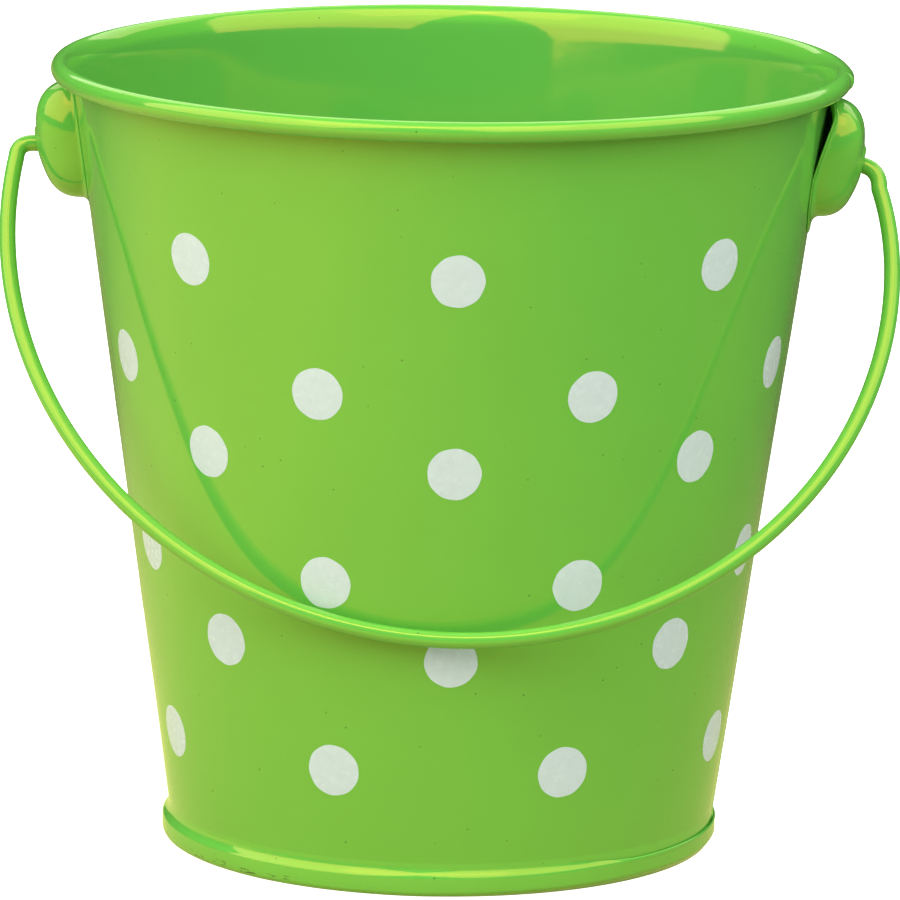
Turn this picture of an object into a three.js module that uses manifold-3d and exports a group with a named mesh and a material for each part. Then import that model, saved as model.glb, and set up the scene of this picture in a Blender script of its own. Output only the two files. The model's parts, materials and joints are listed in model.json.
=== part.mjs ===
// A small painted sheet-steel sand pail. A tapered wall is curled outward over a wire at the rim,
// a bottom pan is folded up round the wall's foot, and a wire bail swings in two pressed ears.
// Millimetres, Z up. The origin is the centre of the resting face, +X points at the right ear
// and -Y at the front, where the bail hangs at rest.
import * as THREE from "three";
import { mergeVertices } from "three/addons/utils/BufferGeometryUtils.js";
import Module from "manifold-3d";

const wasm = await Module();
wasm.setup();

// ---- Driving dimensions -------------------------------------------------------------------
const PAIL_HEIGHT = 144.2;
const RIM_RADIUS = 73; // outside of the curled rim
const SHEET = 0.5; // steel sheet of the wall and the pan
const GAP = 0.3; // running room between neighbouring pieces
const TAPER = 0.139; // wall radius gained for each mm of height

const BEAD_RADIUS = 1.85; // outside of the curl at the rim
const CURL_SHOULDER = 0.4; // extra width of the curl where it leaves the wall
const CURL_END_DEG = -150; // where the curl stops, just short of the wall
const RIM_WIRE_RADIUS = 1.0;

const FOOT_RADIUS = 51.2; // outside of the folded foot band
const FOOT_BAND_HEIGHT = 4.3;
const FOOT_BAND_FOLD = 1.1; // radius of the fold that the pail stands on
const FLOOR_HEIGHT = 3; // underside of the pan's floor above the resting face

const PIVOT_HEIGHT = 127;
const EAR_SHEET = 0.7;
const EAR_DEPTH = 7.6; // how far the dome stands off the wall
const EAR_HALF_WIDTH = 9;
const EAR_RISE = 12.4; // dome above the pivot
const EAR_DROP = 10; // dome below the pivot
const EAR_ROUNDNESS = 2.8; // superellipse exponent: 2 is an ellipse, larger is squarer
const EAR_FLANGE = 2.6; // flat margin round the dome
const EAR_HOLE_RADIUS = 2;
const LIP_RADIUS = 3.4; // raised ring round the ear's hole
const LIP_REACH = 8.6; // how far the ring stands off the wall

const WIRE_RADIUS = 1.5;
const BAIL_HALF_WIDTH = 80.4; // the bail is half an ellipse, hung below the pivots
const BAIL_DROP = 79.4; // from the ellipse's centre down to its lowest point
const BAIL_CENTRE_DROP = 18; // from the pivots down to the ellipse's centre
const BAIL_SKEW = 0.066; // sideways lean of the bail, which is bent a little out of true
const BAIL_SKEW_FROM = 12; // below the pivots, where that lean starts
const BAIL_LEAN_DEG = 36.9; // swing forward from straight down until the wire nears the wall
const BEND_RADIUS = 3; // where the wire turns into the ears
const HEAD_RADIUS = 2.5; // upset end of the wire inside each ear
const HEAD_THICKNESS = 1.2;

// ---- Fineness of the faceted surfaces -----------------------------------------------------
const TURNED_SEGMENTS = 64;
const ARC_STEP_DEG = 30;
const RIM_WIRE_STEP_DEG = 45;
const WIRE_SIDES = 10;
const BAR_SIDES = 24;
const WIRE_STEPS = 120;
const ARM_STEPS = 72;
const DOME_SEGMENTS = [28, 16];
const MARGIN_SIDES = 32;

// ---- Derived dimensions -------------------------------------------------------------------
const BEAD_CENTRE = new THREE.Vector2(RIM_RADIUS - BEAD_RADIUS, PAIL_HEIGHT - BEAD_RADIUS);
const FLARE_RADIUS = FOOT_RADIUS - SHEET - GAP; // upright foot of the wall inside the band
const SLOPE = Math.atan(TAPER);
const wallRadius = (z) => BEAD_CENTRE.x - BEAD_RADIUS + TAPER * (z - BEAD_CENTRE.y);
const FLARE_HEIGHT = BEAD_CENTRE.y - (wallRadius(BEAD_CENTRE.y) - FLARE_RADIUS) / TAPER;
const PIVOT_RADIUS = wallRadius(PIVOT_HEIGHT);

// ---- Helpers ------------------------------------------------------------------------------
const point = (x, y) => new THREE.Vector2(x, y);

// Points on an arc about a centre, with radii that may depend on the angle.
function arc(centre, radii, fromDeg, toDeg, stepDeg = ARC_STEP_DEG) {
  const steps = Math.round(Math.abs(toDeg - fromDeg) / stepDeg);
  return Array.from({ length: steps + 1 }, (_, i) => {
    const angle = THREE.MathUtils.degToRad(fromDeg + ((toDeg - fromDeg) * i) / steps);
    const [rx, ry] = radii(angle);
    return point(centre.x + rx * Math.cos(angle), centre.y + ry * Math.sin(angle));
  });
}

// A body turned about Z from an (r, z) profile that runs counter-clockwise.
function turned(profile) {
  return new THREE.LatheGeometry(profile, TURNED_SEGMENTS).rotateX(Math.PI / 2);
}

const closed = (profile) => [...profile, profile[0].clone()];

// A whole ellipse or circle given as a shape is drawn with twice as many sides as its setting.
const sides = (count) => count / 2;

function solid(geometry) {
  const bare = geometry.clone();
  bare.deleteAttribute("normal");
  bare.deleteAttribute("uv");
  const merged = mergeVertices(bare, 1e-3);
  return new wasm.Manifold(
    new wasm.Mesh({
      numProp: 3,
      vertProperties: merged.attributes.position.array,
      triVerts: new Uint32Array(merged.index.array),
    }),
  );
}

function geometryOf(manifold) {
  const { vertProperties, triVerts } = manifold.getMesh();
  return new THREE.BufferGeometry()
    .setAttribute("position", new THREE.BufferAttribute(vertProperties, 3))
    .setIndex(new THREE.BufferAttribute(triVerts, 1))
    .toNonIndexed();
}

function node(name, geometry, material) {
  geometry.computeVertexNormals();
  const mesh = new THREE.Mesh(geometry, material);
  mesh.name = name;
  return mesh;
}

const enamel = (color) =>
  new THREE.MeshStandardMaterial({ color, roughness: 0.18, metalness: 0 });

// ---- Pail wall: tapered sheet, upright at the foot, curled outward at the rim -----------------
function pailWall() {
  const shoulder = (radius) => (angle) => {
    const overWall = Math.cos(angle) < 0 && Math.sin(angle) >= 0;
    return [radius + (overWall ? CURL_SHOULDER : 0), radius];
  };
  const footBottom = SHEET + GAP;
  const curlOutside = arc(BEAD_CENTRE, shoulder(BEAD_RADIUS), CURL_END_DEG, 180);
  const curlInside = arc(BEAD_CENTRE, shoulder(BEAD_RADIUS - SHEET), 180, CURL_END_DEG);
  return turned(
    closed([
      point(FLARE_RADIUS - SHEET, footBottom),
      point(FLARE_RADIUS, footBottom),
      point(FLARE_RADIUS, FLARE_HEIGHT),
      ...curlInside,
      ...curlOutside,
      point(FLARE_RADIUS - SHEET, FLARE_HEIGHT),
    ]),
  );
}

// ---- Rim wire: stiffening ring inside the curl ------------------------------------------------
function rimWire() {
  const round = () => [RIM_WIRE_RADIUS, RIM_WIRE_RADIUS];
  return turned(arc(BEAD_CENTRE, round, 0, 360, RIM_WIRE_STEP_DEG));
}

// ---- Bottom pan: raised floor, with its skirt folded down, under and up round the wall's foot --
function bottomPan() {
  const skirtOuter = FLARE_RADIUS - SHEET - GAP;
  const skirtInner = skirtOuter - SHEET;
  const fold = point(FOOT_RADIUS - FOOT_BAND_FOLD, FOOT_BAND_FOLD);
  const shoulder = point(FOOT_RADIUS - SHEET, FOOT_BAND_HEIGHT - 2 * SHEET);
  return turned([
    point(0, FLOOR_HEIGHT),
    point(skirtInner, FLOOR_HEIGHT),
    point(skirtInner, SHEET / 2),
    point(skirtInner + SHEET / 2, 0),
    ...arc(fold, () => [FOOT_BAND_FOLD, FOOT_BAND_FOLD], -90, 0),
    ...arc(shoulder, () => [SHEET, 2 * SHEET], 0, 90),
    point(FOOT_RADIUS - SHEET, SHEET),
    point(skirtOuter, SHEET),
    point(skirtOuter, FLOOR_HEIGHT + SHEET),
    point(0, FLOOR_HEIGHT + SHEET),
  ]);
}

// ---- Ears: pressed domes with a flat margin, welded to the wall -------------------------------
// A ball squared off like a superellipsoid, taller above its centre than below.
function dome(depth, halfWidth, rise, drop) {
  const ball = new THREE.SphereGeometry(1, ...DOME_SEGMENTS).rotateX(Math.PI / 2);
  const position = ball.attributes.position;
  const axes = new THREE.Vector3();
  for (let i = 0; i < position.count; i++) {
    const p = new THREE.Vector3().fromBufferAttribute(position, i);
    axes.set(depth, halfWidth, p.z > 0 ? rise : drop);
    const spread = p
      .clone()
      .divide(axes)
      .toArray()
      .reduce((sum, part) => sum + Math.abs(part) ** EAR_ROUNDNESS, 0);
    p.multiplyScalar(spread ** (-1 / EAR_ROUNDNESS));
    position.setXYZ(i, p.x, p.y, p.z);
  }
  return ball;
}

// A flat plate across X whose outline is an ellipse, taller above its centre than below.
function marginPlate(halfWidth, rise, drop) {
  const outline = new THREE.Shape();
  outline.absellipse(0, 0, halfWidth, rise, 0, Math.PI);
  outline.absellipse(0, 0, halfWidth, drop, Math.PI, 2 * Math.PI);
  const plate = new THREE.ExtrudeGeometry(outline, {
    depth: EAR_SHEET,
    bevelEnabled: false,
    curveSegments: sides(MARGIN_SIDES),
  });
  // The outline's x and y become Y and Z, and the depth becomes X.
  return plate.applyMatrix4(
    new THREE.Matrix4().makeBasis(
      new THREE.Vector3(0, 1, 0),
      new THREE.Vector3(0, 0, 1),
      new THREE.Vector3(1, 0, 0),
    ),
  );
}

// A cylinder along X between two distances.
function barAlongX(radius, from, to) {
  return new THREE.CylinderGeometry(radius, radius, to - from, BAR_SIDES)
    .rotateZ(Math.PI / 2)
    .translate((from + to) / 2, 0, 0);
}

// The ear's origin is where its hole's axis meets the wall, and +X points away from the pail.
function ear() {
  const reach = 4 * EAR_RISE; // larger than the ear in every direction
  const behind = new THREE.BoxGeometry(reach, reach, reach).translate(-reach / 2, 0, 0);
  const skin = solid(dome(EAR_DEPTH, EAR_HALF_WIDTH, EAR_RISE, EAR_DROP));
  const hollow = solid(
    dome(
      EAR_DEPTH - EAR_SHEET,
      EAR_HALF_WIDTH - EAR_SHEET,
      EAR_RISE - EAR_SHEET,
      EAR_DROP - EAR_SHEET,
    ),
  );
  const margin = solid(
    marginPlate(EAR_HALF_WIDTH + EAR_FLANGE, EAR_RISE, EAR_DROP + EAR_FLANGE),
  );
  const pressed = skin.add(margin).subtract(hollow).subtract(solid(behind));
  const upright = geometryOf(pressed).translate(GAP, 0, 0).rotateY(SLOPE);
  const lip = solid(barAlongX(LIP_RADIUS, EAR_DEPTH - EAR_SHEET, LIP_REACH));
  const hole = solid(barAlongX(EAR_HOLE_RADIUS, EAR_DEPTH - 3 * EAR_SHEET, LIP_REACH + 1));
  return geometryOf(solid(upright).add(lip).subtract(hole));
}

// ---- Bail: one wire, elliptical in front view, with both ends turned into the ears -----------
class BailPath extends THREE.Curve {
  constructor() {
    super();
    this.headX = PIVOT_RADIUS + 2 * HEAD_THICKNESS;
    const bendTop = Math.asin((BEND_RADIUS - BAIL_CENTRE_DROP) / BAIL_DROP);
    const arm = (angle) => {
      const drop = BAIL_CENTRE_DROP + BAIL_DROP * Math.sin(angle);
      return new THREE.Vector3(
        BAIL_HALF_WIDTH * Math.cos(angle) + BAIL_SKEW * (drop - BAIL_SKEW_FROM),
        0,
        -drop,
      );
    };
    const sweep = Math.PI - 2 * bendTop;
    const round = Array.from({ length: ARM_STEPS + 1 }, (_, i) =>
      arm(bendTop + (sweep * i) / ARM_STEPS),
    );
    const turnIn = (end) => {
      const inward = -Math.sign(end.x) * BEND_RADIUS;
      return new THREE.QuadraticBezierCurve3(
        end,
        new THREE.Vector3(end.x, 0, 0),
        new THREE.Vector3(end.x + inward, 0, 0),
      );
    };
    const [right, left] = [turnIn(round[0]), turnIn(round[ARM_STEPS])];
    const rightIn = new THREE.QuadraticBezierCurve3(right.v2, right.v1, right.v0);
    this.path = new THREE.CurvePath();
    this.path.add(new THREE.LineCurve3(new THREE.Vector3(this.headX, 0, 0), right.v2));
    this.path.add(rightIn);
    this.path.add(new THREE.CatmullRomCurve3(round));
    this.path.add(left);
    this.path.add(new THREE.LineCurve3(left.v2, new THREE.Vector3(-this.headX, 0, 0)));
  }
  getPoint(t, target = new THREE.Vector3()) {
    return target.copy(this.path.getPoint(t));
  }
}

function bailWire() {
  const path = new BailPath();
  const section = new THREE.Shape();
  section.absarc(0, 0, WIRE_RADIUS, 0, 2 * Math.PI);
  const rod = new THREE.ExtrudeGeometry(section, {
    steps: WIRE_STEPS,
    curveSegments: sides(WIRE_SIDES),
    extrudePath: path,
  });
  const head = barAlongX(HEAD_RADIUS, path.headX - HEAD_THICKNESS, path.headX);
  const otherHead = head.clone().rotateZ(Math.PI);
  return geometryOf(solid(rod).add(solid(head)).add(solid(otherHead)));
}

// ---- Assembly ------------------------------------------------------------------------------
const bareSteel = new THREE.MeshStandardMaterial({ color: 0x8a8d90, metalness: 1, roughness: 0.4 });
const pail = new THREE.Group();
pail.add(node("pail_wall", pailWall(), enamel(0x7dc141)));
pail.add(node("rim_wire", rimWire(), bareSteel));
pail.add(node("bottom_pan", bottomPan(), enamel(0x74b83f)));

for (const [name, turn] of [
  ["ear_right", 0],
  ["ear_left", Math.PI],
]) {
  const mesh = node(name, ear(), enamel(0x79bd40));
  mesh.rotation.z = turn;
  mesh.position.set(PIVOT_RADIUS * Math.cos(turn), 0, PIVOT_HEIGHT);
  pail.add(mesh);
}

const bail = new THREE.Group();
bail.position.z = PIVOT_HEIGHT;
bail.rotation.x = -THREE.MathUtils.degToRad(BAIL_LEAN_DEG);
bail.add(node("bail_wire", bailWire(), enamel(0x63a637)));

const bucket = new THREE.Group();
bucket.add(pail, bail);

export default bucket;
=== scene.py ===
"""The looks of a small painted steel sand pail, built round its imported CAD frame.

Metres, in the frame of the CAD model: +Z up, +X towards the right ear, -Y towards the front.
"""
import json
import math
import random

import bmesh
import bpy
import numpy as np
from mathutils import Matrix, Vector


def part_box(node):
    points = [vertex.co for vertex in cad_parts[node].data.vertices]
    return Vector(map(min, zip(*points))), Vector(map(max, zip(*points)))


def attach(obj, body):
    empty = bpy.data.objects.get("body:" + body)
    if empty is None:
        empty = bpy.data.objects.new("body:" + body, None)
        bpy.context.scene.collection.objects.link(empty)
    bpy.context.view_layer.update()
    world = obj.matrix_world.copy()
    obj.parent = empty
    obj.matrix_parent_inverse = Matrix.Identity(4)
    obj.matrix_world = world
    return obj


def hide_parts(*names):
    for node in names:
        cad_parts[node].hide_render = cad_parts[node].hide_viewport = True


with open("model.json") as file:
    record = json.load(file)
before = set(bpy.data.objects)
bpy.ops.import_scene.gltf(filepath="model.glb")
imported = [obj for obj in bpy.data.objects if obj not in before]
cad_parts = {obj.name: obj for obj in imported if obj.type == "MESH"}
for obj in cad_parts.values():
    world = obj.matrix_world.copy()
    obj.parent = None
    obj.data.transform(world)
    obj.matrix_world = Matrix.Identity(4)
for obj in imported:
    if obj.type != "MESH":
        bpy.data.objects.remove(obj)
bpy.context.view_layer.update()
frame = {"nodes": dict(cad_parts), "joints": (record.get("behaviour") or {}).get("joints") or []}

# ---- Sizes taken from the frame ------------------------------------------------------------------
MM = 0.001
RIM_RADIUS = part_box("pail_wall")[1].x
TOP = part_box("pail_wall")[1].z
WALL_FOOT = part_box("pail_wall")[0].z
FOOT_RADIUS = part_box("bottom_pan")[1].x
BAND_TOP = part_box("bottom_pan")[1].z
PIVOT = Vector(frame["joints"][0]["pos_m"])

# ---- Sizes repeated from the CAD source ----------------------------------------------------------
SHEET = 0.5 * MM
TAPER = 0.139  # wall radius gained with height
BEAD = 1.85 * MM  # radius of the curled rim
CURL_SHOULDER = 0.4 * MM
CURL_END_DEG = -150
FLOOR_HEIGHT = 3 * MM
BAND_FOLD = 1.1 * MM
EAR_DEPTH = 7.6 * MM
WIRE = 1.5 * MM
BAIL_HALF_WIDTH = 80.4 * MM
BAIL_DROP = 79.4 * MM
BAIL_CENTRE_DROP = 18 * MM
BAIL_SKEW = 0.066
BAIL_SKEW_FROM = 12 * MM
BAIL_LEAN = math.radians(36.9)
BENDS = (5 * MM, 3 * MM)  # size of the right and the left bend
WIRE_SPREAD = 0.2 * MM  # the wire was bent this much wider, and lies further right, than drawn
BAIL_PULL = 1.5 * MM  # the right arm is pulled in by this at its top, fading over the reach
BAIL_PULL_REACH = 10 * MM

# ---- Derived sizes -------------------------------------------------------------------------------
SLOPE = math.atan(TAPER)
BEAD_R = RIM_RADIUS - BEAD
BEAD_Z = TOP - BEAD
FLARE_RADIUS = FOOT_RADIUS - SHEET - 0.3 * MM


def wall_radius(z):
    """Outside radius of the tapered wall at a height."""
    return BEAD_R - BEAD + TAPER * (z - BEAD_Z)


# ---- Mesh helpers --------------------------------------------------------------------------------
def arc(r, z, radii, from_deg, to_deg, count):
    """Points (r, z) along an arc; radii(angle) gives its two radii."""
    angles = np.radians(np.linspace(from_deg, to_deg, count))
    return [(r + radii(a)[0] * math.cos(a), z + radii(a)[1] * math.sin(a)) for a in angles]


def straight(start, end, count):
    """Points from start up to but not at end."""
    share = np.linspace(0, 1, count, endpoint=False)[:, None]
    return [tuple(p) for p in np.array(start) * (1 - share) + np.array(end) * share]


def grid_faces(rows, columns, wrap_rows=True, wrap_columns=True):
    """Quads over a grid of points stored row by row."""
    faces = []
    for i in range(rows if wrap_rows else rows - 1):
        for j in range(columns if wrap_columns else columns - 1):
            a, b = i * columns + j, ((i + 1) % rows) * columns + j
            step = (j + 1) % columns - j
            faces.append((a, b, b + step, a + step))
    return faces


def tidy(mesh):
    """Merges coincident points, such as those on the axis, and turns all faces outward."""
    made = bmesh.new()
    made.from_mesh(mesh)
    bmesh.ops.remove_doubles(made, verts=made.verts, dist=1e-6)
    bmesh.ops.recalc_face_normals(made, faces=made.faces)
    made.to_mesh(mesh)
    made.free()


def piece(name, points, faces, material, body, replaces=()):
    """A smooth mesh piece that rides on a body and may stand for CAD nodes."""
    mesh = bpy.data.meshes.new(name)
    mesh.from_pydata([tuple(p) for p in points], [], faces)
    mesh.validate()
    tidy(mesh)
    mesh.polygons.foreach_set("use_smooth", [True] * len(mesh.polygons))
    mesh.set_sharp_from_angle(angle=math.radians(50))
    mesh.materials.append(material)
    obj = bpy.data.objects.new(name, mesh)
    bpy.context.scene.collection.objects.link(obj)
    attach(obj, body)
    if replaces:
        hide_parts(*replaces)
    return obj


def turned(section, azimuths):
    """Points of a closed profile turned about Z; section(azimuth) gives its arrays r and z."""
    rows = []
    for azimuth in azimuths:
        r, z = section(azimuth)
        rows.append(np.stack([r * math.cos(azimuth), r * math.sin(azimuth), z], -1))
    return np.concatenate(rows)


def smooth_step(x, low, high):
    t = np.clip((x - low) / (high - low), 0, 1)
    return t * t * (3 - 2 * t)


# ---- Material helpers ----------------------------------------------------------------------------
class Shader:
    """A node material with one Principled shader and a few shorthands."""

    def __init__(self, name):
        self.material = bpy.data.materials.new(name)
        self.material.use_nodes = True
        self.tree = self.material.node_tree
        self.tree.nodes.clear()
        self.output = self.node("ShaderNodeOutputMaterial")
        self.bsdf = self.node("ShaderNodeBsdfPrincipled")
        self.link(self.bsdf.outputs["BSDF"], self.output.inputs["Surface"])
        self.place = self.node("ShaderNodeTexCoord").outputs["Object"]

    def node(self, kind, **settings):
        made = self.tree.nodes.new(kind)
        for key, value in settings.items():
            setattr(made, key, value)
        return made

    def link(self, source, target):
        self.tree.links.new(source, target)

    def set(self, **values):
        for key, value in values.items():
            self.bsdf.inputs[key.replace("_", " ")].default_value = value

    def noise(self, size, detail=2.0, flatness=1.0):
        """Noise from 0 to 1 with features of about that size, in metres, and flatter if asked."""
        squeezed = self.node("ShaderNodeVectorMath", operation="MULTIPLY")
        squeezed.inputs[1].default_value = (1, 1, flatness)
        self.link(self.place, squeezed.inputs[0])
        made = self.node("ShaderNodeTexNoise")
        made.inputs["Scale"].default_value = 1 / size
        made.inputs["Detail"].default_value = detail
        self.link(squeezed.outputs[0], made.inputs["Vector"])
        return made.outputs["Fac"]

    def ramp(self, source, low, high, low_value=0.0, high_value=1.0):
        """Maps source from low..high to low_value..high_value, clamped."""
        made = self.node("ShaderNodeMapRange")
        for key, value in zip(
            ("From Min", "From Max", "To Min", "To Max"), (low, high, low_value, high_value)
        ):
            made.inputs[key].default_value = value
        self.link(source, made.inputs["Value"])
        return made.outputs["Result"]

    def times(self, a, b):
        made = self.node("ShaderNodeMath", operation="MULTIPLY")
        self.link(a, made.inputs[0])
        self.link(b, made.inputs[1])
        return made.outputs[0]

    def mix(self, factor, a, b):
        """Colour a where factor is 0 and b where it is 1; each is a colour or a socket."""
        made = self.node("ShaderNodeMix", data_type="RGBA")
        self.link(factor, made.inputs["Factor"])
        for key, value in ((6, a), (7, b)):
            if isinstance(value, tuple):
                made.inputs[key].default_value = (*value, 1)
            else:
                self.link(value, made.inputs[key])
        return made.outputs[2]

    def specks(self, spacing, share, radius):
        """1 inside small round specks: a share of cells of that spacing hold one."""
        cells = self.node("ShaderNodeTexVoronoi")
        cells.inputs["Scale"].default_value = 1 / spacing
        self.link(self.place, cells.inputs["Vector"])
        chosen = self.node("ShaderNodeSeparateColor")
        self.link(cells.outputs["Color"], chosen.inputs[0])
        near = self.ramp(cells.outputs["Distance"], 0.5 * radius / spacing, radius / spacing, 1, 0)
        picked = self.ramp(chosen.outputs[0], 1 - share, 1 - share + 0.02)
        return self.times(near, picked)

    def inside(self):
        """1 on the inner side of the tapered wall and 0 outside: where the painted shade inside the
        pail goes.
        """
        flat = self.node("ShaderNodeVectorMath", operation="MULTIPLY")
        flat.inputs[1].default_value = (1, 1, 0)
        self.link(self.place, flat.inputs[0])
        radius = self.node("ShaderNodeVectorMath", operation="LENGTH")
        self.link(flat.outputs[0], radius.inputs[0])
        at = self.node("ShaderNodeSeparateXYZ")
        self.link(self.place, at.inputs[0])
        wall = self.node("ShaderNodeMath", operation="MULTIPLY_ADD")
        wall.inputs[1].default_value = -TAPER
        self.link(at.outputs["Z"], wall.inputs[0])
        self.link(radius.outputs["Value"], wall.inputs[2])
        outside = wall_radius(0)
        return self.ramp(wall.outputs[0], outside - 0.8 * SHEET, outside - 0.5 * SHEET, 1, 0)

    def bumps(self, *layers):
        """Each layer is (height socket, depth in metres)."""
        normal = None
        for height, depth in layers:
            made = self.node("ShaderNodeBump")
            made.inputs["Distance"].default_value = depth
            self.link(height, made.inputs["Height"])
            if normal is not None:
                self.link(normal, made.inputs["Normal"])
            normal = made.outputs["Normal"]
        self.link(normal, self.bsdf.inputs["Normal"])


LIME = (0.146, 0.554, 0.064)
MOTTLING = (0.985, 1.01)  # darkest and lightest paint, as shares of its colour
MOTTLE_SIZE = 22 * MM
PAINTED_INSIDE_SHADE = (0.78, 0.83, 1.0)  # painted shade: the colour inside the pail is darkened, standing in for the shade that falls inside it
DUST_SHADE = 0.45
DUST_SPACING = 3.2 * MM
DUST_SHARE = 0.5  # of the places that could hold a speck
DUST_RADIUS = 0.24 * MM
GLOSS_TINT = (1.0, 0.48, 0.08, 1)  # highlights on the enamel keep a yellow cast
GLOSS_ROUGHNESS = (0.06, 0.11)
ROUGHNESS_SIZE = 6 * MM
ORANGE_PEEL = ((14 * MM, 0.02 * MM), (1.6 * MM, 0.005 * MM))  # sizes and depths of the ripples
SCUFF = (0.02, 0.10, 0.03)
SCUFF_HEIGHT = 1.6 * MM
SCUFF_EDGE = (-26 * MM, -20 * MM)  # the scuffs fade out towards the right between these
SCUFF_SIZE = 2.4 * MM
SCUFF_FLATNESS = 4.0
SCUFF_STRENGTH = 0.85


def scuffs(s):
    """1 on the flat worn marks low on the left of the pan's band."""
    at = s.node("ShaderNodeSeparateXYZ")
    s.link(s.place, at.inputs[0])
    above = s.ramp(at.outputs["Z"], 0.35 * SCUFF_HEIGHT, 0.55 * SCUFF_HEIGHT)
    below = s.ramp(at.outputs["Z"], 0.9 * SCUFF_HEIGHT, 1.2 * SCUFF_HEIGHT, 1, 0)
    left = s.ramp(at.outputs["X"], *SCUFF_EDGE, 1, 0)
    chips = s.ramp(s.noise(SCUFF_SIZE, 3, SCUFF_FLATNESS), 0.56, 0.64, 0, SCUFF_STRENGTH)
    return s.times(s.times(above, below), s.times(left, chips))


def enamel(name, inside=False, scuffed=False):
    """Gloss lime enamel: faint mottling, dust specks under the paint and orange peel; if asked,
    painted shade inside the pail.
    """
    s = Shader(name)
    darker, lighter = (tuple(share * c for c in LIME) for share in MOTTLING)
    dust = tuple(DUST_SHADE * c + 0.01 for c in LIME)
    paint = s.mix(s.ramp(s.noise(MOTTLE_SIZE, 3), 0.35, 0.65), darker, lighter)
    paint = s.mix(s.specks(DUST_SPACING, DUST_SHARE, DUST_RADIUS), paint, dust)
    # painted shade: the wall's inner side is darkened, standing in for the shade inside the pail
    if inside:
        painted_shade = tuple(c * shade for c, shade in zip(LIME, PAINTED_INSIDE_SHADE))
        paint = s.mix(s.inside(), paint, painted_shade)
    if scuffed:
        paint = s.mix(scuffs(s), paint, SCUFF)
    s.link(paint, s.bsdf.inputs["Base Color"])
    roughness = s.ramp(s.noise(ROUGHNESS_SIZE, 4), 0.3, 0.7, *GLOSS_ROUGHNESS)
    s.link(roughness, s.bsdf.inputs["Roughness"])
    s.set(IOR=1.65, Specular_IOR_Level=0.8, Specular_Tint=GLOSS_TINT)
    s.bumps(*((s.noise(size, 1), depth) for size, depth in ORANGE_PEEL))
    return s.material


INK_WHITES = ((0.66, 0.76, 0.69), (0.70, 0.80, 0.73))  # thinner and thicker ink
INK_HOLE = (0.45, 0.66, 0.35)


def dot_ink():
    """Screen-printed ink: slightly satin, with pinholes where the green shows through."""
    s = Shader("dot_ink")
    holes = s.specks(1.1 * MM, 0.05, 0.12 * MM)
    body = s.mix(s.ramp(s.noise(1.5 * MM, 3), 0.3, 0.7), *INK_WHITES)
    s.link(s.mix(holes, body, INK_HOLE), s.bsdf.inputs["Base Color"])
    s.link(s.ramp(s.noise(2 * MM, 3), 0.3, 0.7, 0.2, 0.3), s.bsdf.inputs["Roughness"])
    s.bumps((s.noise(0.8 * MM, 2), 0.006 * MM))
    return s.material


STEEL_GREYS = ((0.42, 0.42, 0.43), (0.55, 0.55, 0.56))


def bare_steel():
    """Drawn steel wire with fine streaks."""
    s = Shader("bare_steel")
    grey = s.mix(s.ramp(s.noise(1.2 * MM, 4), 0.3, 0.7), *STEEL_GREYS)
    s.link(grey, s.bsdf.inputs["Base Color"])
    s.link(s.ramp(s.noise(0.9 * MM, 3), 0.3, 0.7, 0.3, 0.45), s.bsdf.inputs["Roughness"])
    s.set(Metallic=1.0)
    return s.material


# ---- Camera and light ----------------------------------------------------------------------------
CAMERA_TURN = math.radians(3.8)  # the camera stands a little to the right ear's side
CAMERA_ELEVATION = math.radians(11.3)
CAMERA_ROLL = math.radians(0.859)
CAMERA_DISTANCE = 1.5188
CAMERA_AIM = (0.69 * MM, 71.84 * MM)  # sideways from the axis, and height
CAMERA_LENS = 330.4


def make_camera():
    turn = Matrix.Rotation(CAMERA_TURN, 3, "Z")
    back = turn @ Vector((0, -math.cos(CAMERA_ELEVATION), math.sin(CAMERA_ELEVATION)))
    right = turn @ Vector((1, 0, 0))
    up = back.cross(right)
    aim = turn @ Vector((CAMERA_AIM[0], 0, CAMERA_AIM[1]))
    rolled = Matrix((right, up, back)).transposed() @ Matrix.Rotation(CAMERA_ROLL, 3, "Z")
    camera = bpy.data.objects.new("camera", bpy.data.cameras.new("camera"))
    camera.data.lens = CAMERA_LENS
    camera.data.sensor_width = 36
    camera.data.clip_end = 100
    camera.matrix_world = Matrix.Translation(aim + CAMERA_DISTANCE * back) @ rolled.to_4x4()
    bpy.context.scene.collection.objects.link(camera)
    bpy.context.scene.camera = camera


PANEL_AIM = Vector((0, 0, 0.08))
WARM = (1.04, 1.0, 0.95)
COOL = (0.96, 1.0, 1.0)


def panel(name, azimuth_deg, elevation_deg, distance, size, power, colour):
    """A softbox that faces the pail; azimuth 0 is the front and positive is to the right."""
    a, e = math.radians(azimuth_deg), math.radians(elevation_deg)
    way = Vector((math.sin(a) * math.cos(e), -math.cos(a) * math.cos(e), math.sin(e)))
    light = bpy.data.lights.new(name, "AREA")
    light.shape = "RECTANGLE"
    light.size, light.size_y = size
    light.energy = power
    light.color = colour
    obj = bpy.data.objects.new(name, light)
    obj.location = PANEL_AIM + distance * way
    obj.rotation_euler = way.to_track_quat("Z", "Y").to_euler()
    obj.visible_camera = False
    bpy.context.scene.collection.objects.link(obj)


AMBIENT = 0.04


def make_world():
    """White where the camera sees it, and a softer white as light."""
    world = bpy.data.worlds.new("studio")
    bpy.context.scene.world = world
    world.use_nodes = True
    tree = world.node_tree
    background = tree.nodes["Background"]
    background.inputs["Color"].default_value = (1, 1, 1, 1)
    seen = tree.nodes.new("ShaderNodeLightPath")
    strength = tree.nodes.new("ShaderNodeMapRange")
    strength.inputs["To Min"].default_value = AMBIENT
    strength.inputs["To Max"].default_value = 1.0
    tree.links.new(seen.outputs["Is Camera Ray"], strength.inputs["Value"])
    tree.links.new(strength.outputs["Result"], background.inputs["Strength"])


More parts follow.
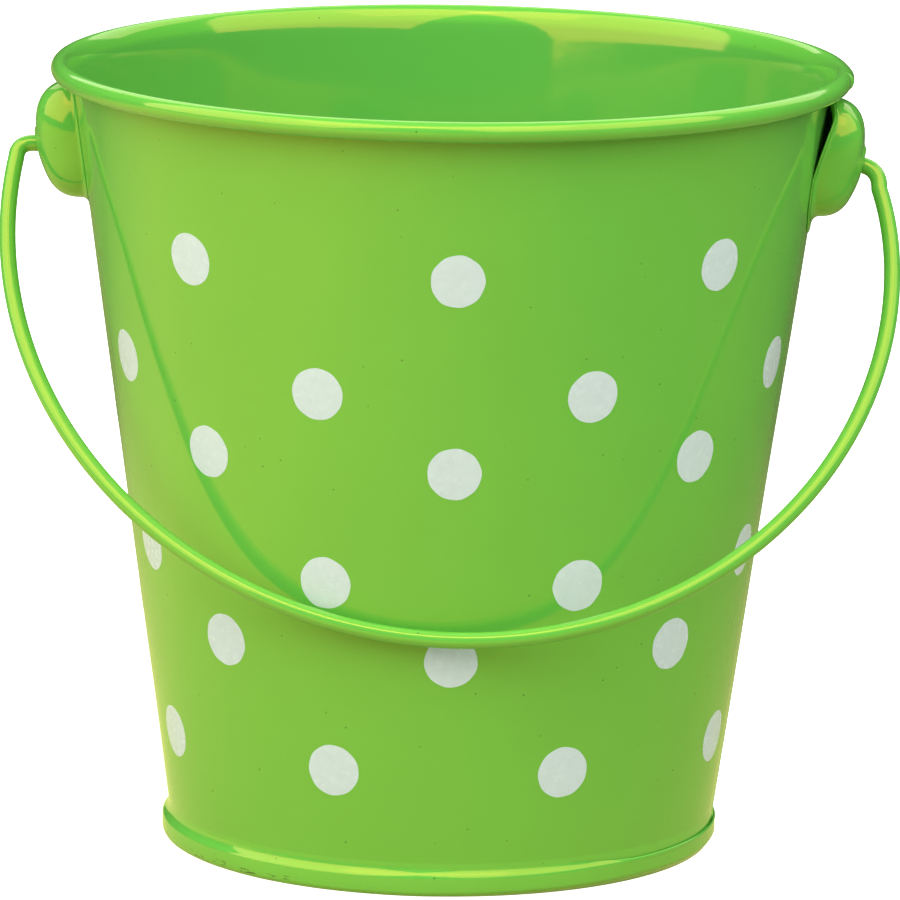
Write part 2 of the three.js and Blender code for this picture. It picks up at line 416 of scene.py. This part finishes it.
PAPER_WHITE = 0.97  # added where the camera sees the paper
PAPER_BOUNCE = (0.4, 0.4, 0.4)  # what it gives back to the pail from below
PAINTED_PAPER_SHEEN = (1.2, 0.32)  # painted reflection: the paper glows for reflected rays only, brighter on the left than on the right, to lay a painted sheen on the enamel
SHEEN_TINT = (1.0, 1.0, 0.3)
SHEEN_ACROSS = (-0.2, 0.25)  # where along X the left sheen turns into the right one
SHEEN_BACK = (0.05, 0.35)  # where along Y it fades to its share behind the pail
SHEEN_BEHIND = 0.22
PAPER_MIRRORED = (0.03, 0.03, 0.03)  # the paper's colour as the enamel mirrors it, nearly black under that painted sheen
PAPER_SEEN = ((0.80, 0.80, 0.80), (0.84, 0.84, 0.84))
FLOOR_RADIUS = 9.0
FLOOR_SIDES = 96
WHITE = (1.0, 1.0, 1.0)


def make_floor():
    """A large pale disc that reaches far past every view; it glows white where the camera sees it,
    and for reflected rays it glows unevenly as a painted sheen.
    """
    angles = [2 * math.pi * i / FLOOR_SIDES for i in range(FLOOR_SIDES)]
    corners = [(FLOOR_RADIUS * math.cos(a), FLOOR_RADIUS * math.sin(a), 0) for a in angles]
    mesh = bpy.data.meshes.new("floor")
    mesh.from_pydata(corners, [], [range(FLOOR_SIDES)])
    s = Shader("floor_paper")
    ray = s.node("ShaderNodeLightPath").outputs
    at = s.node("ShaderNodeSeparateXYZ")
    s.link(s.place, at.inputs[0])
    # painted reflection: a glow that only reflected rays see, brighter on the left and fading behind
    # the pail
    sheen = s.ramp(at.outputs["X"], *SHEEN_ACROSS, *PAINTED_PAPER_SHEEN)
    sheen = s.times(sheen, s.ramp(at.outputs["Y"], *SHEEN_BACK, 1, SHEEN_BEHIND))
    painted_reflection = s.times(ray["Is Glossy Ray"], sheen)
    seen = s.ramp(ray["Is Camera Ray"], 0, 1, 0, PAPER_WHITE)
    glow = s.node("ShaderNodeMath", operation="ADD")
    s.link(painted_reflection, glow.inputs[0])
    s.link(seen, glow.inputs[1])
    s.link(glow.outputs[0], s.bsdf.inputs["Emission Strength"])
    paper = s.mix(s.noise(20 * MM, 3), *PAPER_SEEN)
    dim = s.mix(ray["Is Glossy Ray"], PAPER_BOUNCE, PAPER_MIRRORED)
    s.link(s.mix(ray["Is Camera Ray"], dim, paper), s.bsdf.inputs["Base Color"])
    tint = s.mix(ray["Is Glossy Ray"], WHITE, SHEEN_TINT)
    s.link(tint, s.bsdf.inputs["Emission Color"])
    s.set(Roughness=0.9, Specular_IOR_Level=0.1)
    mesh.materials.append(s.material)
    floor = bpy.data.objects.new("floor", mesh)
    bpy.context.scene.collection.objects.link(floor)


# ---- The pail's wall and rim ---------------------------------------------------------------------
SEAM_AZIMUTH = math.radians(0.3)  # the welded side seam, under the right ear
SEAM_WIDTH = 4 * MM
SEAM_PROUD = 0.15 * MM
CURL_LAP_PROUD = 0.3 * MM
CURL_LAP_EDGES = (-3 * MM, -2.6 * MM, 4 * MM, 12 * MM)  # along the rim: rise, then fade
SEAM_REACH = 5 * MM  # extra sections lie this far to both sides of the seam
DENT = 0.045 * MM  # hand-sized waviness of the sheet
DENT_WAVES = (  # strength, waves round the pail, turn per metre of height, offset
    (1, 3, 40, 0.7),
    (0.7, 5, -62, 2.1),
    (0.5, 9, 85, 0),
    (0.35, 17, -120, 1.3),
)
ROLL_DEPTH = 5.8 * MM  # the wall starts to bend out into the rim this far below the top
LEAN = 0.12 * MM  # the foot stands this far to the left of the rim


def dents(z, azimuth):
    """Slight waviness of the sheet, nil at the foot and at the rim."""
    wave = sum(a * np.sin(n * azimuth + turn * z + offset) for a, n, turn, offset in DENT_WAVES)
    low = 0.25 + 0.75 * smooth_step(z, 8 * MM, 30 * MM)
    return DENT * wave * low * (1 - smooth_step(z, TOP - 14 * MM, TOP - 5 * MM))


def from_seam(azimuth):
    """Angle past the seam, from -pi to pi."""
    return (azimuth - SEAM_AZIMUTH + math.pi) % (2 * math.pi) - math.pi


def lean(z, azimuth):
    """Change of radius that carries the foot a little to the left."""
    return -LEAN * math.cos(azimuth) * (1 - z / TOP)


def wall_shape(r, z, azimuth):
    """Adds the lean, the sheet's waviness, the side seam and the curl's lap to a radius."""
    along = from_seam(azimuth) * RIM_RADIUS
    weld = SEAM_PROUD * math.exp(-((along / (0.4 * SEAM_WIDTH)) ** 4))
    lap = smooth_step(along, *CURL_LAP_EDGES[:2]) * (1 - smooth_step(along, *CURL_LAP_EDGES[2:]))
    swollen = CURL_LAP_PROUD * lap * np.clip((r - BEAD_R) / BEAD, 0, 1)
    bumps = dents(z, azimuth) + weld * (z < TOP - 3 * MM) + swollen * (z > TOP - 5 * MM)
    return r + lean(z, azimuth) + bumps


def seam_azimuths(count, fine):
    """Even azimuths round the pail with extra ones across the seam."""
    even = np.linspace(0, 2 * math.pi, count, endpoint=False)
    near = SEAM_AZIMUTH + np.linspace(-1, 1, fine) * SEAM_REACH / RIM_RADIUS
    return np.unique(np.round(np.concatenate([even, near % (2 * math.pi)]), 5))


def roll_in(foot):
    """From the top of the rim down its inside, easing into the wall's slope at the foot point."""
    t = np.linspace(0, 1, 24)[:, None]
    corner = np.array((foot[0] + TAPER * (TOP - foot[1]), TOP))
    curve = (1 - t) ** 2 * np.array((BEAD_R, TOP)) + 2 * t * (1 - t) * corner + t**2 * np.array(foot)
    return [tuple(point) for point in curve]


def pail_wall(material):
    """The tapered sheet with its straight foot and the rim curled outward."""

    def shoulder(radius):
        def radii(angle):
            over_wall = math.cos(angle) < 0 and math.sin(angle) >= 0
            return radius + (CURL_SHOULDER if over_wall else 0), radius

        return radii

    flare_z = BEAD_Z - (BEAD_R - BEAD - FLARE_RADIUS) / TAPER
    outer_top = (wall_radius(BEAD_Z - BEAD), BEAD_Z - BEAD)
    inner_z = TOP - ROLL_DEPTH
    inner_top = (wall_radius(inner_z) - SHEET, inner_z)
    profile = [
        (FLARE_RADIUS - SHEET, WALL_FOOT),
        (FLARE_RADIUS, WALL_FOOT),
        *straight((FLARE_RADIUS, 4 * MM), (FLARE_RADIUS, flare_z), 10),
        *straight((FLARE_RADIUS + 0.03 * MM, flare_z), outer_top, 64),
        outer_top,
        *arc(BEAD_R, BEAD_Z, shoulder(BEAD - SHEET), 180, CURL_END_DEG, 40),
        *arc(BEAD_R, BEAD_Z, shoulder(BEAD), CURL_END_DEG, 90, 36),
        *roll_in(inner_top)[1:],
        *straight(inner_top, (FLARE_RADIUS - SHEET, flare_z), 60)[1:],
        (FLARE_RADIUS - SHEET, flare_z),
    ]
    r, z = np.array(profile).T
    azimuths = seam_azimuths(240, 41)
    points = turned(lambda azimuth: (wall_shape(r, z, azimuth), z), azimuths)
    faces = grid_faces(len(azimuths), len(profile))
    return piece("painted_wall", points, faces, material, "pail", ["pail_wall"])


# ---- The bottom pan ------------------------------------------------------------------------------
PAN_SHIFT = 0.3 * MM  # the pan sits this far to the left of the wall's foot
BAND_TILT = 0.72 * MM  # the fold is rolled this much higher on the right
BAND_ROUND = 0.9 * MM  # height of the rounding at the band's top edge
FILLET_RISE = 1.3 * MM  # the paint runs this far up the wall where the band lies tight
CRACK = (math.radians(-66), math.radians(-38))  # the band's top edge opens between these
BAND_STEPS = 14


def band_top(azimuth):
    """(r, z) up the band's top: a round edge where it stands open, a fillet where it is tight."""
    t = np.linspace(0, 1, BAND_STEPS)
    z_open = BAND_TOP - BAND_ROUND * (1 - np.sin(t * math.pi / 2))
    r_open = FOOT_RADIUS - SHEET * (1 - np.cos(t * math.pi / 2))
    z_tight = BAND_TOP - BAND_ROUND + t * (BAND_ROUND + FILLET_RISE)
    wall = np.maximum(wall_radius(z_tight), FLARE_RADIUS) - 0.04 * MM
    r_tight = wall + (FOOT_RADIUS - wall) * (1 - smooth_step(t, 0, 1)) ** 1.5
    turn = (azimuth + math.pi) % (2 * math.pi) - math.pi
    opened = float(smooth_step(turn, *CRACK) * (1 - smooth_step(turn, 1.2, 1.8)))
    return r_tight + opened * (r_open - r_tight), z_tight + opened * (z_open - z_tight)


def pan_section(before, after, azimuth):
    """The pan's whole profile at one azimuth: rolled fold higher on the right, slightly wavy."""
    top_r, top_z = band_top(azimuth)
    r = np.concatenate([before[0], top_r, after[0]])
    z = np.concatenate([before[1], top_z, after[1]])
    wave = 0.6 * math.sin(11 * azimuth + 0.4) + 0.4 * math.sin(23 * azimuth + 2)
    outer = smooth_step(r, FOOT_RADIUS - BAND_FOLD - 0.1 * MM, FOOT_RADIUS - BAND_FOLD + 0.5 * MM)
    low = 1 - smooth_step(z, 1.2 * MM, 3.4 * MM)
    lifted = z + BAND_TILT * max(math.cos(azimuth), 0) * outer * low
    below_top = 1 - smooth_step(z, BAND_TOP - BAND_ROUND, BAND_TOP)
    moved = lean(z, azimuth) - PAN_SHIFT * math.cos(azimuth) * below_top
    return r + 0.04 * MM * wave * outer * low + moved * r / FOOT_RADIUS, lifted


def bottom_pan(material):
    """Raised floor with a pressed step; the skirt goes down, under the wall's foot and up outside."""
    skirt_out = FLARE_RADIUS - SHEET - 0.3 * MM
    skirt_in = skirt_out - SHEET
    fold_r, band_r = FOOT_RADIUS - BAND_FOLD, FOOT_RADIUS - SHEET
    bend = 0.8 * MM

    def round_corner(radius):
        return lambda angle: (radius, radius)

    before = [
        (0, FLOOR_HEIGHT),
        (20 * MM, FLOOR_HEIGHT),
        (skirt_in - bend - 2 * MM, FLOOR_HEIGHT),
        *arc(skirt_in - bend, FLOOR_HEIGHT - bend, round_corner(bend), 90, 0, 8),
        *arc(skirt_in + 0.4 * MM, 0.4 * MM, round_corner(0.4 * MM), 180, 270, 6),
        *arc(fold_r, BAND_FOLD, round_corner(BAND_FOLD), -90, 0, 12),
    ]
    after = [
        (band_r - 0.1 * MM, BAND_TOP - 0.35 * MM),
        (band_r - 0.1 * MM, SHEET),
        (skirt_out, SHEET),
        *arc(skirt_out - bend, FLOOR_HEIGHT + SHEET - bend, round_corner(bend), 0, 90, 8),
        (skirt_out - bend - 2 * MM, FLOOR_HEIGHT + SHEET),
        (20 * MM, FLOOR_HEIGHT + SHEET),
        (0, FLOOR_HEIGHT + SHEET),
    ]
    azimuths = np.linspace(0, 2 * math.pi, 240, endpoint=False)
    sides = np.array(before).T, np.array(after).T
    points = turned(lambda azimuth: pan_section(*sides, azimuth), azimuths)
    count = len(before) + BAND_STEPS + len(after)
    faces = grid_faces(len(azimuths), count, wrap_columns=False)
    return piece("painted_pan", points, faces, material, "pail", ["bottom_pan"])


# ---- The ears ------------------------------------------------------------------------------------
EAR_HALF_WIDTH = 8.4 * MM
EAR_RISE = 12.4 * MM
EAR_DROP = 9.4 * MM
EAR_ROUNDNESS = 2.8
EAR_MARGIN = (9.3 * MM, 13.2 * MM, 12.8 * MM)  # half width, rise and drop of the flat margin
EAR_FILLET = (0.7 * MM, 1.7 * MM)  # between dome and margin: sides and top, then bottom
EAR_SKIN = 0.5 * MM
EAR_HOLE = 2 * MM
LIP_FOOT = 5.2 * MM  # radius where the drawn lip leaves the dome
LIP_TOP = EAR_HOLE + 0.4 * MM
LIP_HEIGHT = 0.6 * MM
MARGIN_SQUARENESS = 2.4
EAR_SINK = 0.3 * MM  # the left ear's margin lies deep in the paint
EAR_SPRUNG = 1.9 * MM  # the right ear's front edge is sprung off the wall at its top
SPRUNG_ACROSS = (0.3 * EAR_HALF_WIDTH, 0.95 * EAR_HALF_WIDTH)
SPRUNG_FROM = -1.6 * MM  # height above the hole's axis where the sprung edge starts
SPRUNG_OVER = 11 * MM
LEFT_EXTRA = 0.9 * MM  # the left dome came out a little deeper than drawn
EAR_CANT = 8.0  # growth of the dome's height per metre upward
EAR_SECTIONS = 128


def squared_radius(angle, half_width, rise, drop, power):
    """Distance from the centre to a squared ellipse, taller above its centre than below."""
    height = rise if math.sin(angle) > 0 else drop
    across, along = abs(math.cos(angle)) / half_width, abs(math.sin(angle)) / height
    return (across**power + along**power) ** (-1 / power)


def dome_height(share, depth):
    """Height of the dome at a share of the way from its centre to its edge."""
    return depth * (1 - min(share, 1) ** EAR_ROUNDNESS) ** (1 / EAR_ROUNDNESS)


def ear_section(angle, depth):
    """(distance from the hole's axis, height off the wall) along one closed section of the ear."""
    edge = squared_radius(angle, EAR_HALF_WIDTH, EAR_RISE, EAR_DROP, EAR_ROUNDNESS)
    inner = edge - EAR_SKIN
    to_bottom = float(smooth_step(-math.sin(angle), 0.3, 1))
    fillet = EAR_FILLET[0] + (EAR_FILLET[1] - EAR_FILLET[0]) * to_bottom
    foot = EAR_SKIN + fillet
    last = (1 - (foot / depth) ** EAR_ROUNDNESS) ** (1 / EAR_ROUNDNESS)
    base = last * edge
    rim = base + fillet
    margin = max(squared_radius(angle, *EAR_MARGIN, MARGIN_SQUARENESS), rim + 0.35 * MM)

    def crown(r):
        lip = LIP_HEIGHT * (1 - float(smooth_step(r, LIP_TOP, LIP_FOOT)))
        return dome_height(r / edge, depth) + lip

    top = crown(EAR_HOLE)
    section = [
        (EAR_HOLE, top - 0.9 * MM),
        (EAR_HOLE, top - 0.2 * MM),
        (EAR_HOLE + 0.06 * MM, top - 0.06 * MM),
    ]
    section += [(r, crown(r)) for r in np.linspace(EAR_HOLE + 0.2 * MM, LIP_FOOT, 10)]
    start = LIP_FOOT / edge
    for t in np.linspace(0.06, 1, 20):
        share = start + (last - start) * math.sin(t * math.pi / 2)
        section.append((share * edge, dome_height(share, depth)))
    for t in np.linspace(0.15, 1, 7) * math.pi / 2:
        section.append((base + fillet * (1 - math.cos(t)), foot - fillet * math.sin(t)))
    section += [
        (rim + 0.6 * (margin - rim), 0.92 * EAR_SKIN),
        (margin - 0.25 * MM, 0.75 * EAR_SKIN),
        (margin, 0.4 * EAR_SKIN),
        (margin, 0.1 * MM),
        (margin - 0.1 * MM, 0),
        (inner + 0.2 * MM, 0),
    ]
    for t in np.linspace(0.05, 1, 12):
        share = 1 - (1 - EAR_HOLE / inner) * t**1.6
        section.append((share * inner, dome_height(share, depth - EAR_SKIN)))
    return section


def ear(name, side, depth, lift, sink, material, node):
    """A pressed dome on a thin margin; side is 1 for the right ear and -1 for the left.

    The dome stands square to the sloping wall, but its hole and lip lie on the pivot's axis.
    """
    rows = []
    angles = np.linspace(0, 2 * math.pi, EAR_SECTIONS, endpoint=False)
    foot = np.array((wall_radius(PIVOT.z) - sink, 0, PIVOT.z))
    outward = np.array((math.cos(SLOPE), 0, -math.sin(SLOPE)))
    upward = np.array((math.sin(SLOPE), 0, math.cos(SLOPE)))
    for angle in angles:
        for distance, height in ear_section(angle, depth):
            across, along = distance * math.cos(angle), distance * math.sin(angle)
            sprung = smooth_step(-across, *SPRUNG_ACROSS)
            sprung *= np.clip((along - SPRUNG_FROM) / SPRUNG_OVER, 0, 1)
            off = height * (1 + EAR_CANT * along) - across**2 / (2 * foot[0]) + lift * sprung
            x, _, z = foot + off * outward + along * upward
            on_axis = 1 - float(smooth_step(distance, LIP_TOP, LIP_FOOT))
            rows.append((side * x, across, z + on_axis * height * math.sin(SLOPE)))
    count = len(rows) // len(angles)
    faces = grid_faces(len(angles), count)
    return piece(name, rows, faces, material, "pail", [node])


# ---- The bail ------------------------------------------------------------------------------------
HEAD_RADIUS = 2.5 * MM
HEAD_LENGTH = 1.2 * MM
WIRE_SIDES = 28
WIRE_STEPS = 220


def bail_line():
    """Points (u, drop) of the wire's centre from the right end to the left, in the bail's plane."""

    def arm(angle):
        drop = BAIL_CENTRE_DROP + BAIL_DROP * math.sin(angle)
        skew = BAIL_SKEW * (drop - BAIL_SKEW_FROM) + WIRE_SPREAD
        if math.cos(angle) > 0:
            skew -= BAIL_PULL * math.exp(-drop / BAIL_PULL_REACH)
        return (BAIL_HALF_WIDTH + WIRE_SPREAD) * math.cos(angle) + skew, drop

    first, last = (math.asin((bend - BAIL_CENTRE_DROP) / BAIL_DROP) for bend in BENDS)
    round_part = [arm(a) for a in np.linspace(first, math.pi - last, WIRE_STEPS)]

    def turn_in(end):
        """From the arm's end up and inward onto the pivot axis."""
        inward = -math.copysign(end[1], end[0])
        corner, tip = (end[0], 0), (end[0] + inward, 0)
        steps = np.linspace(0, 1, 14)[1:, None]
        a, b, c = (np.array(p) for p in (end, corner, tip))
        return (1 - steps) ** 2 * a + 2 * steps * (1 - steps) * b + steps**2 * c

    inside = wall_radius(PIVOT.z) + 2 * HEAD_LENGTH
    right, left = turn_in(round_part[0])[::-1], turn_in(round_part[-1])
    runs = [
        np.array([(u, 0) for u in np.linspace(inside, right[0][0], 8, endpoint=False)]),
        right,
        np.array(round_part),
        left,
        np.array([(u, 0) for u in np.linspace(left[-1][0], -inside, 8)[1:]]),
    ]
    return np.concatenate(runs)


def bail(material):
    """The wire, round in section, with an upset head on each end inside the ears."""
    line = bail_line()
    travel = np.concatenate([[0], np.cumsum(np.linalg.norm(np.diff(line, axis=0), axis=1))])
    from_end = np.minimum(travel, travel[-1] - travel)
    radii = WIRE + (HEAD_RADIUS - WIRE) * (from_end < HEAD_LENGTH)
    down = np.array((0, -math.sin(BAIL_LEAN), -math.cos(BAIL_LEAN)))
    normal = np.array((0, math.cos(BAIL_LEAN), -math.sin(BAIL_LEAN)))
    across = np.array((1, 0, 0))
    tangents = np.gradient(line, axis=0)
    points = []
    for (u, drop), (tu, td), radius in zip(line, tangents, radii):
        centre = np.array(PIVOT) + u * across + drop * down
        tangent = tu * across + td * down
        side = np.cross(tangent / np.linalg.norm(tangent), normal)
        for k in range(WIRE_SIDES):
            turn = 2 * math.pi * k / WIRE_SIDES
            points.append(centre + radius * (math.cos(turn) * normal + math.sin(turn) * side))
    faces = grid_faces(len(line), WIRE_SIDES, wrap_rows=False)
    last = (len(line) - 1) * WIRE_SIDES
    faces.append(tuple(range(WIRE_SIDES)))
    faces.append(tuple(last + k for k in reversed(range(WIRE_SIDES))))
    return piece("painted_bail", points, faces, material, "bail", ["bail_wire"])


# ---- The printed dots ----------------------------------------------------------------------------
DOT_RADIUS = 4.81 * MM
DOT_ROWS = [114.96 * MM, 93.14 * MM, 79.54 * MM, 58.09 * MM, 44.45 * MM, 22.79 * MM]
DOT_STEP = math.radians(46)  # between neighbours on the front
DOT_START = -math.pi / 2 + CAMERA_TURN + math.radians(1.45)
DOTS_ROUND = 8  # places in each row
DOT_SIDES = 56
DOT_RINGS = 5
DOT_WAVES = (2, 3, 5, 9)  # ripples round a dot's edge
DOT_SEED = 7
INK = 0.06 * MM
UNDER_EAR_SINE = 0.22  # no dot is printed this close to the ears' direction
UNDER_EAR_FROM = 105 * MM  # and above this height


def dot_azimuths(shifted):
    """Azimuths of one row's dots, from the front dot both ways round to the seam."""
    first = DOT_START - (DOT_STEP / 2 if shifted else 0)
    front = [first + n * DOT_STEP for n in range(-2, 4 if shifted else 3)]
    behind = DOTS_ROUND - len(front)
    rest = (2 * math.pi - (front[-1] - front[0])) / (behind + 1)
    return front + [front[-1] + n * rest for n in range(1, behind + 1)]


def dot(azimuth, height, radius, wobble):
    """Points and faces of one thin disc of ink that follows the wall."""
    points = []
    inner = [(0.97 * ring / DOT_RINGS, INK) for ring in range(DOT_RINGS)]
    for share, lift in inner + [(1, 0.5 * INK), (1, -0.05 * MM)]:
        for k in range(DOT_SIDES):
            turn = 2 * math.pi * k / DOT_SIDES
            edge = 1 + sum(a * math.sin(n * turn + p) for n, a, p in wobble)
            across = radius * share * edge * math.cos(turn)
            z = height + radius * share * edge * math.sin(turn) * math.cos(SLOPE)
            angle = azimuth + across / wall_radius(height)
            r = wall_shape(np.array(wall_radius(z)), np.array(z), angle) + lift
            points.append((r * math.cos(angle), r * math.sin(angle), z))
    faces = grid_faces(DOT_RINGS + 2, DOT_SIDES, wrap_rows=False)
    last = (DOT_RINGS + 1) * DOT_SIDES
    faces.append(tuple(last + k for k in range(DOT_SIDES)))
    return points, faces


def dots(material):
    """All the dots as one print, left out where an ear covers the wall."""
    rng = random.Random(DOT_SEED)
    points, faces = [], []
    for row, height in enumerate(DOT_ROWS):
        for azimuth in dot_azimuths(shifted=row % 2 == 1):
            wobble = [(n, rng.uniform(0.002, 0.008), rng.uniform(0, 6.28)) for n in DOT_WAVES]
            if abs(math.sin(azimuth)) < UNDER_EAR_SINE and height > UNDER_EAR_FROM:
                continue
            p, f = dot(azimuth, height, DOT_RADIUS, wobble)
            faces += [tuple(i + len(points) for i in face) for face in f]
            points += p
    return piece("dot_print", points, faces, material, "pail")


# ---- Build ---------------------------------------------------------------------------------------
make_camera()
make_world()
make_floor()
panel("left_softbox", -60, 40, distance=1.4, size=(1.9, 1.6), power=24.8, colour=WARM)
panel("right_softbox", 51, 47, distance=1.4, size=(2.0, 1.5), power=23.6, colour=COOL)
panel("front_top", -2, 58, distance=1.4, size=(1.5, 0.8), power=4.2, colour=WHITE)
panel("back_softbox", 172, 42, distance=1.5, size=(2.4, 1.0), power=11, colour=(1.0, 1.0, 0.98))
bpy.context.scene.view_settings.view_transform = "Standard"

green = enamel("wall_enamel", inside=True)
pail_wall(green)
bottom_pan(enamel("pan_enamel", scuffed=True))
ear_green = enamel("ear_enamel")
ear("pressed_ear_right", 1, EAR_DEPTH, EAR_SPRUNG, 0, ear_green, "ear_right")
ear("pressed_ear_left", -1, EAR_DEPTH + LEFT_EXTRA, 0, EAR_SINK, ear_green, "ear_left")
bail(enamel("bail_enamel"))
dots(dot_ink())
frame["nodes"]["rim_wire"].data.materials.clear()
frame["nodes"]["rim_wire"].data.materials.append(bare_steel())
